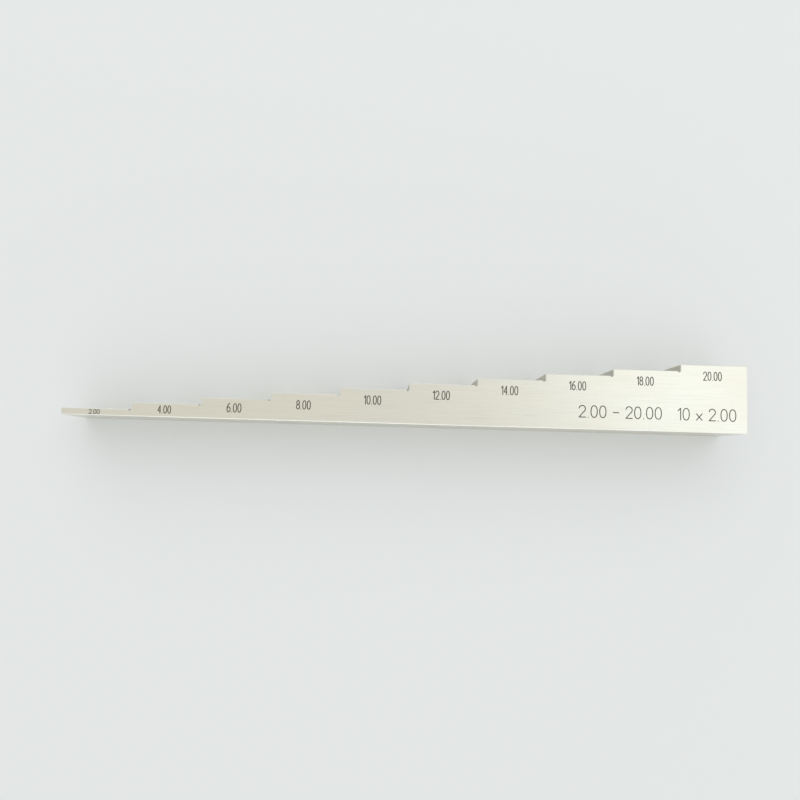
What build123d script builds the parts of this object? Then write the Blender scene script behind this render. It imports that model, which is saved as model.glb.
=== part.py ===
"""Step calibration block: one ground steel bar with equal steps. Sizes are in millimetres.

The block lies on its side, as it is laid down to be read, with its marked side face up. X runs along
the block from its thinnest step to its thickest. Y is the direction in which the steps are measured:
the flat datum face looks along -Y and every tread along +Y. Z is the width of the bar. The origin is
under the middle of the block, on the surface that the block lies on.
"""
import os

from build123d import *

os.makedirs("parts", exist_ok=True)

# Steps
step_count = 10
first_step_height = 2.0  # thinnest step, from the datum face to its tread
step_rise = 2.0  # what each step adds to the one before
step_length = 20.0  # tread, measured along the block
block_width = 20.0  # across the treads

# Relief groove in the tread at the foot of each riser, cut with a round-nosed wheel, so that a probe
# or an anvil can seat flat right up to the riser
groove_width = 0.8
groove_depth = 0.4

# All outer edges are broken once the faces are ground
edge_break = 0.2

# Sizes that follow from the ones above
block_length = step_count * step_length
top_step_height = first_step_height + (step_count - 1) * step_rise
end_x = -block_length / 2
datum_y = -top_step_height / 2


def step_start(index):
    """Where a step begins along the block. Steps are counted from 0, the thinnest one."""
    return end_x + index * step_length


def tread_y(index):
    """Level of a step's tread, which is its height above the datum face."""
    return datum_y + first_step_height + index * step_rise


def staircase():
    """Outline of the block, seen square to the marked side face."""
    corners = [(end_x, datum_y)]
    for index in range(step_count):
        corners.append((step_start(index), tread_y(index)))
        corners.append((step_start(index + 1), tread_y(index)))
    corners.append((step_start(step_count), datum_y))
    return make_face(Polyline(*corners, close=True))


def stepped_bar():
    """The bar with its steps milled and its outer edges broken; the risers' feet stay sharp."""
    bar = extrude(staircase(), amount=block_width)
    outer_edges = bar.edges().filter_by(Edge.is_interior, reverse=True)
    return chamfer(outer_edges, edge_break)


def relief_groove(index):
    """Cutter for the groove at the foot of the riser that begins this step.

    It is flush with the riser, has a half-round floor and runs right across the bar.
    """
    slot = SlotOverall(
        groove_depth + groove_width,
        groove_width,
        rotation=90,
        align=(Align.MIN, Align.MIN),
    )
    floor_y = tread_y(index - 1) - groove_depth
    section = Pos(step_start(index), floor_y, block_width / 2) * slot
    return extrude(section, amount=block_width, both=True)


grooves = [relief_groove(index) for index in range(1, step_count)]
step_block = stepped_bar() - grooves

export_step(step_block, "parts/step_block.step")
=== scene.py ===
"""The looks of the step calibration block: a ground steel bar with its steps' sizes cut in its side."""
import math

import bpy
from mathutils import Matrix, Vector


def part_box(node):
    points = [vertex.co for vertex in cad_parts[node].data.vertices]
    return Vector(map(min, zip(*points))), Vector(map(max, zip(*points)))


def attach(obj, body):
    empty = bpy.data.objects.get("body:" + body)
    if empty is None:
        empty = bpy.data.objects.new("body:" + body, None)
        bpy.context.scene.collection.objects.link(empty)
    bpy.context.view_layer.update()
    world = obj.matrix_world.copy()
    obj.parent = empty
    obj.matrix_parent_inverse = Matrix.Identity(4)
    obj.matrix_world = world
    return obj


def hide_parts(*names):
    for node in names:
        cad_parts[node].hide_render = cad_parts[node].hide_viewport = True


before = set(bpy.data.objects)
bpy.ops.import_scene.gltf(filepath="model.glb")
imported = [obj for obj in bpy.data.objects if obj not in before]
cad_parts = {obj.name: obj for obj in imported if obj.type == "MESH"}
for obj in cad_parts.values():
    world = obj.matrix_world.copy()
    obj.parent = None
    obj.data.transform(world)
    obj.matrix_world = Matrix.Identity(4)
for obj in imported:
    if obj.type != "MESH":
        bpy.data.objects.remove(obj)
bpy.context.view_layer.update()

MM = 0.001

# The block, its sizes read from the frame
BLOCK = "step_block"
LOW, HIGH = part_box(BLOCK)
STEP_COUNT = 10
STEP_LENGTH = (HIGH.x - LOW.x) / STEP_COUNT
STEP_RISE = (HIGH.y - LOW.y) / STEP_COUNT  # the thinnest step is one rise high
MARKED_FACE = HIGH.z

# What tells the block's faces apart
SQUARE_TO_AXIS = 0.999  # share of a flat face's normal that lies along the axis it looks along
LEVEL_ACROSS = 0.01  # share of a groove's normal that lies across the block, at most
GROOVE_REACH = 1.0 * MM  # the relief grooves lie nearer than this to their risers
UNDER_TREAD = 0.02 * MM  # and deeper than this under the tread that they are cut in
END_REACH = 0.1 * STEP_LENGTH  # an end face lies nearer than this to its end of the block

# How the loose triangles become whole faces, and where a smooth face ends
SAME_POINT = 0.001 * MM
SAME_FACE = math.radians(0.5)
SHARP_ANGLE = math.radians(25)

# Numerals of the steps, cut by an engraving spindle with a round-nosed bit
NUMERAL_FROM_RISER = 9.5 * MM  # from where a step begins to the middle of its numerals
STROKE_DEPTH = 0.13 * MM
DEPTH_STEP = 0.003 * MM  # neighbouring strokes differ by this much, so their floors cross cleanly
DEPTH_COUNT = 4  # after so many strokes the depths begin again
BIT_RESOLUTION = 3  # how finely the cutter is rounded
ROUND_END_ANGLES = (85, 60, 30)  # degrees, from the tip of a stroke's end back to its full width
# A digit's width and the gap to the next are shares of its height. What lies below the tread is the
# middle of the numerals
NUMERALS = {
    "height": 2.45 * MM,
    "below_tread": 3.3 * MM,
    "stroke": 0.28 * MM,
    "width": 0.365,
    "gap": 0.165,
}
# The thinnest steps, counted from 0, leave less room
THIN_STEP_NUMERALS = {
    0: {"height": 1.25 * MM, "below_tread": 1.0 * MM, "stroke": 0.20 * MM, "width": 0.55, "gap": 0.22},
    1: {"height": 2.1 * MM, "below_tread": 1.8 * MM, "stroke": 0.26 * MM, "width": 0.38, "gap": 0.18},
    2: NUMERALS | {"below_tread": 2.75 * MM},
}

# The line of larger numerals: the range of the steps, and how many there are of what rise
RANGE_LINE = "2.00 - 20.00   10 x 2.00"
RANGE_NUMERALS = {"height": 3.42 * MM, "stroke": 0.30 * MM, "width": 0.54, "gap": 0.21}
RANGE_START = 50.0 * MM  # where the line begins along the block
RANGE_BASELINE = 3.55 * MM  # above the datum face

# Colours of the steel, linear
GROUND_STEEL = (0.74, 0.717, 0.63)
# Brighter on the broken edges: partly the polish of stoning, partly a painted highlight
BROKEN_EDGE_PAINTED_HIGHLIGHT = (0.88, 0.87, 0.80)
# Painted shade: a darker steel colour on the risers and in the relief grooves at their feet
PAINTED_SHADE_STEEL = (0.55, 0.53, 0.45)
CUT_STEEL = (0.120, 0.115, 0.092)

# Finish of each kind of face: its colour and roughness, the axis that its lines run along, and how deep
# they are beside the lines of a ground face
STEEL_FINISHES = {
    "ground_side": {"colour": GROUND_STEEL, "roughness": 0.30, "along": "X"},
    "ground_datum": {"colour": GROUND_STEEL, "roughness": 0.27, "along": "X"},
    "ground_tread": {"colour": GROUND_STEEL, "roughness": 0.27, "along": "Z"},
    "ground_end": {"colour": GROUND_STEEL, "roughness": 0.31, "along": "Z"},
    # The risers take the darker colour as painted shade
    "painted_shade_riser": {"colour": PAINTED_SHADE_STEEL, "roughness": 0.36, "along": "Z", "relief": 1.5},
    # Painted highlight along the broken edges, beside their smoother polish
    "broken_edge_painted_highlight": {"colour": BROKEN_EDGE_PAINTED_HIGHLIGHT, "roughness": 0.24, "along": "X", "relief": 0.5},
    # Painted shade in the relief grooves: their colour is the darker one
    "relief_groove": {"colour": PAINTED_SHADE_STEEL, "roughness": 0.36, "along": "Z", "relief": 2.0},
}
FINISHES = [*STEEL_FINISHES, "engraved_stroke"]
CURVED_FINISHES = ["relief_groove", "engraved_stroke"]

# Noise drawn out into lines, by how many go to a millimetre, their length and how much detail they hold
FINE_LINES = {"across_per_mm": 11.0, "length_mm": 30.0, "detail": 2.0}
BROAD_LINES = {"across_per_mm": 1.6, "length_mm": 500.0, "detail": 3.0}
SCORES = {"across_per_mm": 8.0, "length_mm": 14.0, "detail": 0.0}
CLOUDS = {"across_per_mm": 0.07, "length_mm": 30.0, "detail": 2.0}
STROKE_GRAIN = {"across_per_mm": 5.0, "length_mm": 0.2, "detail": 2.0}
LINE_REACH = 0.22  # how far the noise of the lines strays from a half
CLOUD_REACH = 0.15

# Lines of bare steel. Each tone is a share of the finish's own colour
FINE_SHARE = 0.82
DARK_LINE, PALE_LINE = 0.955, 1.045
SCORE_TONE = 0.93
SCORE_NOISE = (0.64, 0.72)  # a score is cut where its noise rises through this range
COOL_TINT = (0.993, 1.0, 1.01)
WARM_TINT = (1.007, 1.0, 0.988)
LINE_ROUGHNESS = 0.04  # how far the lines, and then the clouds, change the roughness either way
CLOUD_ROUGHNESS = 0.03
LINE_DEPTH = 0.005 * MM
BUMP_STRENGTH = 0.7

# Floor of the cut strokes, as shares of its colour
DARK_GRAIN, PALE_GRAIN = 0.75, 1.4
GRAIN_ROUGHNESS = (0.5, 0.7)
OXIDE_METALLIC = 0.6

# The floor and the room
FLOOR_COLOUR = (0.825, 0.838, 0.833)
FLOOR_SIZE = 2.4  # ends in front of the low lamps, which would mark it with their edges
FLOOR_ROUGHNESS = 0.9
FLOOR_GLOSS = 0.2
ROOM_LIGHT = (0.928, 0.95, 0.965)
WARM_CEILING = (0.957, 0.945, 0.88)  # above the thin end

# The room's light level, where 1 is white. A direction runs from -1 to 1 along each axis
ENDS = (-0.6, 0.6)  # from the thin end's side to the thick end's
END_LEVELS = (0.88, 1.02)
HEIGHTS = (0.0, 0.7)  # from the horizon up
HEIGHT_LEVELS = (0.90, 1.0)
SIDEWAYS_POWER = 4.0  # so that only directions close to the block's own length are darker
SIDEWAYS_LEVELS = (1.0, 0.72)
CEILING_HEIGHTS = (0.5, 0.88)

# Soft lamps, which all look at the block. A radiance of 1 is white
SOFTBOXES = {
    "key_softbox": {
        "place": (0.55, 0.22, 0.83),
        "size": (0.70, 0.70),
        "radiance": 0.55,
        "colour": (0.88, 0.95, 1.0),
    },
    "back_softbox": {
        "place": (-0.25, 0.90, 0.60),
        "size": (0.95, 0.95),
        "radiance": 0.45,
        "colour": (1.0, 1.0, 1.0),
    },
    "front_softbox": {
        "place": (0.10, -1.60, 0.34),
        "size": (1.60, 0.45),
        "radiance": 0.70,
        "colour": (1.0, 1.0, 1.0),
    },
}

# Camera, nearly straight above the block, in the frame's own metres and degrees
LENS = 36.0
SENSOR = 36.0
CAMERA_PLACE = (-8.2 * MM, -22.1 * MM, 252.2 * MM)
CAMERA_TURN = (4.65, -1.53, 1.58)
NEAREST, FARTHEST = 1 * MM, 20.0


def only(*pieces):
    """Selects these pieces alone, the first one active."""
    bpy.ops.object.select_all(action="DESELECT")
    for piece in pieces:
        piece.select_set(True)
    bpy.context.view_layer.objects.active = pieces[0]


def step_of(x):
    """Index of the step at this place along the block, counted from 0 at the thinnest."""
    return min(STEP_COUNT - 1, max(0, int((x - LOW.x) / STEP_LENGTH)))


def tread_level(index):
    return LOW.y + (index + 1) * STEP_RISE


# Strokes of the numerals, in a box one wide and one high


def arc(centre, radii, start, end, points):
    """Points along an ellipse. Angles are in degrees, anticlockwise from the right."""
    angles = [math.radians(start + (end - start) * n / (points - 1)) for n in range(points)]
    return [(centre[0] + radii[0] * math.cos(a), centre[1] + radii[1] * math.sin(a)) for a in angles]


def squared_ring(points, power):
    """A zero: an upright oval with fuller shoulders than an ellipse."""
    ring = []
    for n in range(points):
        a = math.tau * n / points
        x = math.copysign(abs(math.cos(a)) ** power, math.cos(a))
        y = math.copysign(abs(math.sin(a)) ** power, math.sin(a))
        ring.append((0.5 + 0.5 * x, 0.5 + 0.5 * y))
    return ring + ring[:1]


STROKES = {
    "0": [squared_ring(points=28, power=0.88)],
    "1": [[(0.0, 0.78), (1.0, 1.0)], [(1.0, 1.0), (1.0, 0.0)]],
    "2": [arc((0.5, 0.72), (0.5, 0.28), 170, -32, 14) + [(0.0, 0.0)], [(0.0, 0.0), (1.0, 0.0)]],
    "4": [[(0.74, 1.0), (0.74, 0.0)], [(0.74, 1.0), (0.0, 0.3)], [(0.0, 0.3), (1.0, 0.3)]],
    "6": [arc((0.5, 0.3), (0.5, 0.3), 0, 360, 25), arc((0.92, 0.3), (0.92, 0.7), 180, 96, 10)],
    "8": [arc((0.5, 0.76), (0.42, 0.24), 0, 360, 23), arc((0.5, 0.265), (0.5, 0.265), 0, 360, 25)],
    "x": [[(0.0, 0.02), (1.0, 0.56)], [(0.0, 0.56), (1.0, 0.02)]],
    "-": [[(0.0, 0.46), (1.0, 0.46)]],
    ".": [[(0.45, 0.0), (0.55, 0.0)]],
    " ": [],
}
# How wide each sign is beside a zero
SIGN_WIDTH = {"1": 0.42, ".": 0.12, "-": 0.9, "x": 0.9, " ": 0.37}


def sign_width(sign, numerals):
    return numerals["width"] * numerals["height"] * SIGN_WIDTH.get(sign, 1.0)


def line_width(text, numerals):
    gaps = numerals["gap"] * numerals["height"] * (len(text) - 1)
    return sum(sign_width(sign, numerals) for sign in text) + gaps


def placed_strokes(text, left, baseline, numerals):
    """The strokes of a line of text, in metres on the marked face."""
    height = numerals["height"]
    strokes = []
    x = left
    for sign in text:
        width = sign_width(sign, numerals)
        for stroke in STROKES[sign]:
            strokes.append([(x + px * width, baseline + py * height) for px, py in stroke])
        x += width + numerals["gap"] * height
    return strokes


def with_round_ends(stroke, radius):
    """An open stroke's points with a share of the radius at each, so that its ends are round."""
    first, last = Vector(stroke[0]), Vector(stroke[-1])
    back = (first - Vector(stroke[1])).normalized() * radius
    on = (last - Vector(stroke[-2])).normalized() * radius
    turns = [math.radians(angle) for angle in ROUND_END_ANGLES]
    start = [(*(first + back * math.sin(a)), math.cos(a)) for a in turns]
    end = [(*(last + on * math.sin(a)), math.cos(a)) for a in reversed(turns)]
    return start + [(x, y, 1.0) for x, y in stroke] + end


def engraving_bit_path(name, strokes, width):
    """A cutter for these strokes: a round bar along each, sunk in the marked face by the depth."""
    radius = ((width / 2) ** 2 + STROKE_DEPTH**2) / (2 * STROKE_DEPTH)
    deepest = MARKED_FACE + radius - STROKE_DEPTH
    curve = bpy.data.curves.new(name, "CURVE")
    curve.dimensions = "3D"
    curve.bevel_depth = radius
    curve.bevel_resolution = BIT_RESOLUTION
    curve.use_fill_caps = True
    for number, stroke in enumerate(strokes):
        height = deepest + DEPTH_STEP * (number % DEPTH_COUNT)
        closed = stroke[0] == stroke[-1]
        ring = [(x, y, 1.0) for x, y in stroke[:-1]]
        points = ring if closed else with_round_ends(stroke, radius)
        spline = curve.splines.new("POLY")
        spline.points.add(len(points) - 1)
        spline.use_cyclic_u = closed
        for point, (x, y, share) in zip(spline.points, points):
            point.co = (x, y, height, 1.0)
            point.radius = share
    cutter = bpy.data.objects.new(name, curve)
    bpy.context.scene.collection.objects.link(cutter)
    only(cutter)
    bpy.ops.object.convert(target="MESH")
    return bpy.context.object


def step_numerals(index):
    """Cutter for one step's size, set in the middle of the step below its tread."""
    numerals = THIN_STEP_NUMERALS.get(index, NUMERALS)
    text = f"{(index + 1) * STEP_RISE / MM:.2f}"
    middle = LOW.x + index * STEP_LENGTH + NUMERAL_FROM_RISER
    left = middle - line_width(text, numerals) / 2
    baseline = tread_level(index) - numerals["below_tread"] - numerals["height"] / 2
    strokes = placed_strokes(text, left, baseline, numerals)
    return engraving_bit_path(f"numerals_{index}", strokes, numerals["stroke"])


def range_numerals():
    """Cutter for the line of larger numerals on the thick end."""
    strokes = placed_strokes(RANGE_LINE, RANGE_START, LOW.y + RANGE_BASELINE, RANGE_NUMERALS)
    return engraving_bit_path("range_numerals", strokes, RANGE_NUMERALS["stroke"])


# Materials


def new_material(name):
    """A new material, its node tree and its principled shader."""
    material = bpy.data.materials.new(name)
    material.use_nodes = True
    tree = material.node_tree
    return material, tree, tree.nodes["Principled BSDF"]


def streaks(tree, along, across_per_mm, length_mm, detail):
    """Noise drawn out into lines that run along one axis of the block."""
    place = tree.nodes.new("ShaderNodeTexCoord")
    stretch = tree.nodes.new("ShaderNodeMapping")
    across = across_per_mm / MM
    scale = {axis: across for axis in "XYZ"}
    scale[along] = 1 / (length_mm * MM)
    stretch.inputs["Scale"].default_value = (scale["X"], scale["Y"], scale["Z"])
    noise = tree.nodes.new("ShaderNodeTexNoise")
    noise.inputs["Scale"].default_value = 1.0
    noise.inputs["Detail"].default_value = detail
    tree.links.new(place.outputs["Object"], stretch.inputs["Vector"])
    tree.links.new(stretch.outputs["Vector"], noise.inputs["Vector"])
    return noise.outputs["Fac"]


def spread(tree, value, source, target):
    """Maps a value from one range to another, and holds it there."""
    node = tree.nodes.new("ShaderNodeMapRange")
    node.inputs["From Min"].default_value = source[0]
    node.inputs["From Max"].default_value = source[1]
    node.inputs["To Min"].default_value = target[0]
    node.inputs["To Max"].default_value = target[1]
    tree.links.new(value, node.inputs["Value"])
    return node.outputs["Result"]


def mapped(tree, noise, low, high, reach=LINE_REACH):
    """Noise, which stays within its reach of a half, as a value from low to high."""
    return spread(tree, noise, (0.5 - reach, 0.5 + reach), (low, high))


def mixed(tree, factor, first, second, blend="MIX"):
    """Two colours mixed by a factor, each a socket or a value."""
    node = tree.nodes.new("ShaderNodeMix")
    node.data_type = "RGBA"
    node.blend_type = blend
    factor_socket, first_socket, second_socket = node.inputs[0], node.inputs[6], node.inputs[7]
    for socket, value in ((factor_socket, factor), (first_socket, first), (second_socket, second)):
        if isinstance(value, bpy.types.NodeSocket):
            tree.links.new(value, socket)
        elif isinstance(value, tuple):
            socket.default_value = (*value, 1.0)
        else:
            socket.default_value = value
    return node.outputs[2]


def computed(tree, operation, first, second):
    """The sum, product or other operation of two values, each a socket or a number."""
    node = tree.nodes.new("ShaderNodeMath")
    node.operation = operation
    for socket, value in zip(node.inputs, (first, second)):
        if isinstance(value, bpy.types.NodeSocket):
            tree.links.new(value, socket)
        else:
            socket.default_value = value
    return node.outputs[0]


def shade_of(colour, factor):
    return tuple(channel * factor for channel in colour)


def steel(name, colour, roughness, along, relief=1.0):
    """Bare steel with the lines that a grinding wheel or a cutter leaves along one axis."""
    material, tree, shader = new_material(name)
    fine = streaks(tree, along, **FINE_LINES)
    broad = streaks(tree, along, **BROAD_LINES)
    scores = streaks(tree, along, **SCORES)
    clouds = streaks(tree, along, **CLOUDS)

    fine_part = computed(tree, "MULTIPLY", fine, FINE_SHARE)
    broad_part = computed(tree, "MULTIPLY", broad, 1 - FINE_SHARE)
    lines = computed(tree, "ADD", fine_part, broad_part)
    scored = spread(tree, scores, SCORE_NOISE, (0.0, 1.0))

    line_share = mapped(tree, lines, 0.0, 1.0)
    ground = mixed(tree, line_share, shade_of(colour, DARK_LINE), shade_of(colour, PALE_LINE))
    tone = mixed(tree, scored, ground, shade_of(colour, SCORE_TONE))
    tint = mixed(tree, mapped(tree, clouds, 0.0, 1.0, CLOUD_REACH), COOL_TINT, WARM_TINT)
    tree.links.new(mixed(tree, 1.0, tone, tint, "MULTIPLY"), shader.inputs["Base Color"])

    smoothest, roughest = roughness - LINE_ROUGHNESS, roughness + LINE_ROUGHNESS
    line_roughness = mapped(tree, fine, smoothest, roughest)
    cloud_roughness = mapped(tree, clouds, -CLOUD_ROUGHNESS, CLOUD_ROUGHNESS, CLOUD_REACH)
    total_roughness = computed(tree, "ADD", line_roughness, cloud_roughness)
    tree.links.new(total_roughness, shader.inputs["Roughness"])

    bump = tree.nodes.new("ShaderNodeBump")
    bump.inputs["Strength"].default_value = BUMP_STRENGTH
    bump.inputs["Distance"].default_value = LINE_DEPTH * relief
    tree.links.new(computed(tree, "SUBTRACT", lines, scored), bump.inputs["Height"])
    tree.links.new(bump.outputs["Normal"], shader.inputs["Normal"])
    shader.inputs["Metallic"].default_value = 1.0
    return material


def engraved_steel():
    """The floor of the cut strokes, dark with oxide."""
    material, tree, shader = new_material("engraved_stroke")
    grain = streaks(tree, "Z", **STROKE_GRAIN)
    dark, pale = shade_of(CUT_STEEL, DARK_GRAIN), shade_of(CUT_STEEL, PALE_GRAIN)
    tone = mixed(tree, mapped(tree, grain, 0.0, 1.0), dark, pale)
    tree.links.new(tone, shader.inputs["Base Color"])
    tree.links.new(mapped(tree, grain, *GRAIN_ROUGHNESS), shader.inputs["Roughness"])
    shader.inputs["Metallic"].default_value = OXIDE_METALLIC
    return material


def finish_materials():
    """A material for each finish, in the order of their names."""
    return [steel(name, **values) for name, values in STEEL_FINISHES.items()] + [engraved_steel()]


def finish_of(face):
    """Name of the finish of one face of the block, from its place and the way it looks."""
    normal, centre = face.normal, face.center
    if abs(normal.z) > SQUARE_TO_AXIS:
        return "ground_side"
    index = step_of(centre.x)
    to_next_riser = LOW.x + (index + 1) * STEP_LENGTH - centre.x
    at_riser = to_next_riser < GROOVE_REACH and index < STEP_COUNT - 1
    under_tread = tread_level(index) - centre.y > UNDER_TREAD
    # Faces in a relief groove get the darker colour of painted shade
    if at_riser and under_tread and abs(normal.z) < LEVEL_ACROSS:
        return "relief_groove"
    if normal.y < -SQUARE_TO_AXIS:
        return "ground_datum"
    if normal.y > SQUARE_TO_AXIS:
        return "ground_tread"
    if abs(normal.x) > SQUARE_TO_AXIS:
        at_an_end = min(centre.x - LOW.x, HIGH.x - centre.x) < END_REACH
        # Risers get the darker colour of painted shade; end faces keep the ground steel's colour
        return "ground_end" if at_an_end else "painted_shade_riser"
    # What is left are the broken edges, brighter as a painted highlight
    return "broken_edge_painted_highlight"


# The block


def merged_copy(node):
    """The block's own form as one closed mesh, its flat faces whole. The node itself isn't touched."""
    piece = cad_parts[node].copy()
    piece.data = piece.data.copy()
    piece.name = "marked_block"
    piece.parent = None
    for key in list(piece.keys()):
        del piece[key]
    bpy.context.scene.collection.objects.link(piece)
    only(piece)
    bpy.ops.object.mode_set(mode="EDIT")
    bpy.ops.mesh.select_all(action="SELECT")
    bpy.ops.mesh.remove_doubles(threshold=SAME_POINT)
    bpy.ops.mesh.dissolve_limited(angle_limit=SAME_FACE)
    bpy.ops.object.mode_set(mode="OBJECT")
    return piece


def finish_faces(piece):
    """Gives each face of the block the finish of its kind."""
    piece.data.materials.clear()
    for material in finish_materials():
        piece.data.materials.append(material)
    for face in piece.data.polygons:
        face.material_index = FINISHES.index(finish_of(face))


def engrave(piece, cutters):
    """Cuts the strokes into the block. Each cut face keeps the finish of the engraved strokes."""
    only(*cutters)
    bpy.ops.object.join()
    cutter = bpy.context.object
    cutter.data.materials.clear()
    for material in piece.data.materials:
        cutter.data.materials.append(material)
    for face in cutter.data.polygons:
        face.material_index = FINISHES.index("engraved_stroke")
    modifier = piece.modifiers.new("engraving", "BOOLEAN")
    modifier.operation = "DIFFERENCE"
    modifier.solver = "EXACT"
    modifier.use_self = True
    modifier.object = cutter
    only(piece)
    bpy.ops.object.modifier_apply(modifier=modifier.name)
    bpy.data.objects.remove(cutter)


def smooth_curved_faces(piece):
    """Smooth over the grooves and strokes, and flat on the ground faces."""
    only(piece)
    bpy.ops.object.shade_smooth_by_angle(angle=SHARP_ANGLE)
    curved = [FINISHES.index(name) for name in CURVED_FINISHES]
    for face in piece.data.polygons:
        face.use_smooth = face.material_index in curved


def marked_block():
    """The block as it is seen, finished and engraved."""
    piece = merged_copy(BLOCK)
    finish_faces(piece)
    engrave(piece, [step_numerals(index) for index in range(STEP_COUNT)] + [range_numerals()])
    smooth_curved_faces(piece)
    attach(piece, "root")
    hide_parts(BLOCK)


# The stage


def floor():
    """The plain surface that the block lies on."""
    bpy.ops.object.select_all(action="DESELECT")
    bpy.ops.mesh.primitive_plane_add(size=FLOOR_SIZE, location=(0, 0, LOW.z))
    piece = bpy.context.object
    piece.name = "floor"
    material, _, shader = new_material("pale_floor")
    shader.inputs["Base Color"].default_value = (*FLOOR_COLOUR, 1.0)
    shader.inputs["Roughness"].default_value = FLOOR_ROUGHNESS
    shader.inputs["Specular IOR Level"].default_value = FLOOR_GLOSS
    piece.data.materials.append(material)


def softbox(name, place, size, radiance, colour):
    """A lamp, size wide and high, that looks at the block and isn't seen itself."""
    data = bpy.data.lights.new(name, "AREA")
    data.shape = "RECTANGLE"
    width, height = size
    data.size, data.size_y = width, height
    data.energy = radiance * math.pi * width * height
    data.color = colour
    lamp = bpy.data.objects.new(name, data)
    lamp.location = place
    lamp.rotation_euler = (-Vector(place)).to_track_quat("-Z", "Y").to_euler()
    lamp.visible_camera = False
    bpy.context.scene.collection.objects.link(lamp)


def room():
    """A pale room, darker low down and towards the block's ends, and warmer above the thin one."""
    world = bpy.data.worlds.new("studio")
    bpy.context.scene.world = world
    world.use_nodes = True
    tree = world.node_tree
    background = tree.nodes["Background"]
    direction = tree.nodes.new("ShaderNodeTexCoord")
    split = tree.nodes.new("ShaderNodeSeparateXYZ")
    tree.links.new(direction.outputs["Generated"], split.inputs["Vector"])
    along, up = split.outputs["X"], split.outputs["Z"]

    end_level = spread(tree, along, ENDS, END_LEVELS)
    height_level = spread(tree, up, HEIGHTS, HEIGHT_LEVELS)
    sideways = computed(tree, "POWER", along, SIDEWAYS_POWER)
    sideways_level = spread(tree, sideways, (0.0, 1.0), SIDEWAYS_LEVELS)
    level = computed(tree, "MULTIPLY", end_level, height_level)
    level = computed(tree, "MULTIPLY", level, sideways_level)
    tree.links.new(level, background.inputs["Strength"])

    over_thin_end = spread(tree, along, ENDS, (1.0, 0.0))
    overhead = spread(tree, up, CEILING_HEIGHTS, (0.0, 1.0))
    warmth = computed(tree, "MULTIPLY", over_thin_end, overhead)
    tree.links.new(mixed(tree, warmth, ROOM_LIGHT, WARM_CEILING), background.inputs["Color"])


def studio():
    """The room and its soft lamps."""
    room()
    for name, values in SOFTBOXES.items():
        softbox(name, **values)


def camera():
    data = bpy.data.cameras.new("camera")
    data.lens = LENS
    data.sensor_width = SENSOR
    data.clip_start, data.clip_end = NEAREST, FARTHEST
    eye = bpy.data.objects.new("camera", data)
    eye.location = CAMERA_PLACE
    eye.rotation_euler = tuple(math.radians(angle) for angle in CAMERA_TURN)
    bpy.context.scene.collection.objects.link(eye)
    bpy.context.scene.camera = eye


camera()
marked_block()
floor()
studio()
bpy.context.scene.view_settings.view_transform = "Standard"
